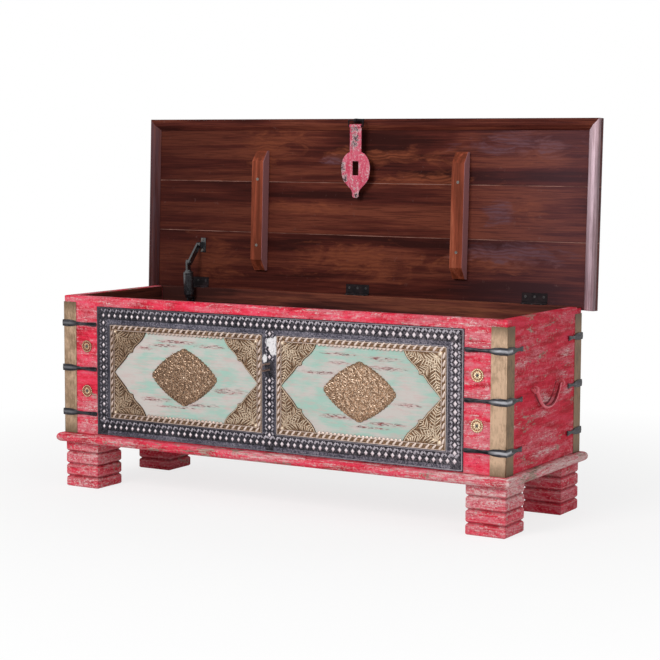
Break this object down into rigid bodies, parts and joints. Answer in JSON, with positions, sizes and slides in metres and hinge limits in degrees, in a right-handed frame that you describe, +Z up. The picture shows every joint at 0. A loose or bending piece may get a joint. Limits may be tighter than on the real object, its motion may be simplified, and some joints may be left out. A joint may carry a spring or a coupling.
{
  "type": "storage chest",
  "caption": "Long wooden storage chest on grooved block feet, with embossed metal mounts, hasp and staple, bail handles and a hinged lid held open by a stay.",
  "frame": {"origin": "on the floor under the middle of the object's extent, which is the middle of the box to within a millimetre", "axes": "+X along the length to the chest's own left-to-right as seen from the front, +Y from the front to the rear, +Z up"},
  "size_m": [1.162, 0.4383, 0.8354],
  "materials": {
    "red_painted_wood": "matte red paint over wood, rubbed through to pink primer and bare wood",
    "mint_painted_board": "matte mint paint with pinkish-white and dark red streaks",
    "dark_varnished_wood": "dark red-brown satin varnish",
    "orange_wood": "orange-brown satin stain",
    "plain_brass": "aged satin brass sheet",
    "embossed_brass": "embossed brass with dark hollows and rubbed high spots",
    "embossed_iron": "dark embossed sheet iron with raised pale diamonds",
    "strap_iron": "blackened iron with rubbed edges",
    "worn_iron": "dark worn iron",
    "pink_painted_iron": "pink-red paint worn to white and black",
    "red_painted_iron": "red paint over iron, worn",
    "hinge_steel": "dark painted steel",
    "black_steel": "gloss black enamel"
  },
  "bodies": {
    "chest": {"base_board": "red_painted_wood", "brass_frame_left": "embossed_brass", "brass_frame_right": "embossed_brass", "corner_brass_front_left": "plain_brass", "corner_brass_front_right": "plain_brass", "corner_brass_rear_left": "plain_brass", "corner_brass_rear_right": "plain_brass", "corner_strap_front_left_high": "strap_iron", "corner_strap_front_left_low": "strap_iron", "corner_strap_front_left_middle": "strap_iron", "corner_strap_front_right_high": "strap_iron", "corner_strap_front_right_low": "strap_iron", "corner_strap_front_right_middle": "strap_iron", "corner_strap_rear_left_high": "strap_iron", "corner_strap_rear_left_low": "strap_iron", "corner_strap_rear_left_middle": "strap_iron", "corner_strap_rear_right_high": "strap_iron", "corner_strap_rear_right_low": "strap_iron", "corner_strap_rear_right_middle": "strap_iron", "foot_front_left": "red_painted_wood", "foot_front_right": "red_painted_wood", "foot_rear_left": "red_painted_wood", "foot_rear_right": "red_painted_wood", "front_panel": "red_painted_wood", "handle_eye_left_front": "worn_iron", "handle_eye_left_rear": "worn_iron", "handle_eye_right_front": "worn_iron", "handle_eye_right_rear": "worn_iron", "hinge_leaf_box_centre": "hinge_steel", "hinge_leaf_box_left": "hinge_steel", "hinge_leaf_box_right": "hinge_steel", "inlay_panel_left": "mint_painted_board", "inlay_panel_right": "mint_painted_board", "iron_border": "embossed_iron", "medallion_left": "embossed_brass", "medallion_right": "embossed_brass", "rear_panel": "red_painted_wood", "rosette_left_high": "embossed_brass", "rosette_left_low": "embossed_brass", "rosette_right_high": "embossed_brass", "rosette_right_low": "embossed_brass", "side_panel_left": "red_painted_wood", "side_panel_right": "red_painted_wood", "staple": "worn_iron", "stay_wall_bracket": "black_steel"},
    "lid": {"lid_panel": "dark_varnished_wood", "lid_rim": "dark_varnished_wood", "batten_left": "orange_wood", "batten_right": "orange_wood", "hinge_leaf_lid_left": "hinge_steel", "hinge_leaf_lid_centre": "hinge_steel", "hinge_leaf_lid_right": "hinge_steel", "stay_lid_bracket": "black_steel", "hasp_eye": "worn_iron"},
    "hasp_ring": {"hasp_ring": "worn_iron"},
    "hasp": {"hasp": "pink_painted_iron"},
    "stay_barrel": {"stay_barrel": "black_steel"},
    "stay_link": {"stay_link": "black_steel"},
    "handle_left": {"handle_bail_left": "red_painted_iron"},
    "handle_right": {"handle_bail_right": "red_painted_iron"}
  },
  "joints": [
    {"name": "lid_hinge", "type": "hinge", "parent": "chest", "child": "lid", "pos_m": [0, 0.1865, 0.4365], "axis": [1, 0, 0], "range_deg": [0, 92]},
    {"name": "hasp_ring_swing", "type": "hinge", "parent": "lid", "child": "hasp_ring", "pos_m": [0, 0.17556, 0.83112], "axis": [1, 0, 0], "range_deg": [-100, 0]},
    {"name": "hasp_swing", "type": "hinge", "parent": "hasp_ring", "child": "hasp", "pos_m": [0, 0.17556, 0.81812], "axis": [1, 0, 0], "range_deg": [-90, 6.2]},
    {"name": "stay_barrel_swing", "type": "hinge", "parent": "chest", "child": "stay_barrel", "pos_m": [-0.441, 0.1505, 0.3965], "axis": [1, 0, 0], "range_deg": [0, 92]},
    {"name": "stay_link_swing", "type": "hinge", "parent": "stay_barrel", "child": "stay_link", "pos_m": [-0.441, 0.146, 0.49672], "axis": [1, 0, 0], "range_deg": [-92, 0]},
    {"name": "handle_left_swing", "type": "hinge", "parent": "chest", "child": "handle_left", "pos_m": [-0.559, 0, 0.2865], "axis": [0, 1, 0], "range_deg": [0, 90]},
    {"name": "handle_right_swing", "type": "hinge", "parent": "chest", "child": "handle_right", "pos_m": [0.559, 0, 0.2865], "axis": [0, -1, 0], "range_deg": [0, 90]}
  ],
  "couplings": [
    {"joint": "hasp_ring_swing", "follows": "lid_hinge", "ratio": -1.087},
    {"joint": "stay_barrel_swing", "follows": "lid_hinge", "ratio": 1},
    {"joint": "stay_link_swing", "follows": "lid_hinge", "ratio": -1}
  ]
}
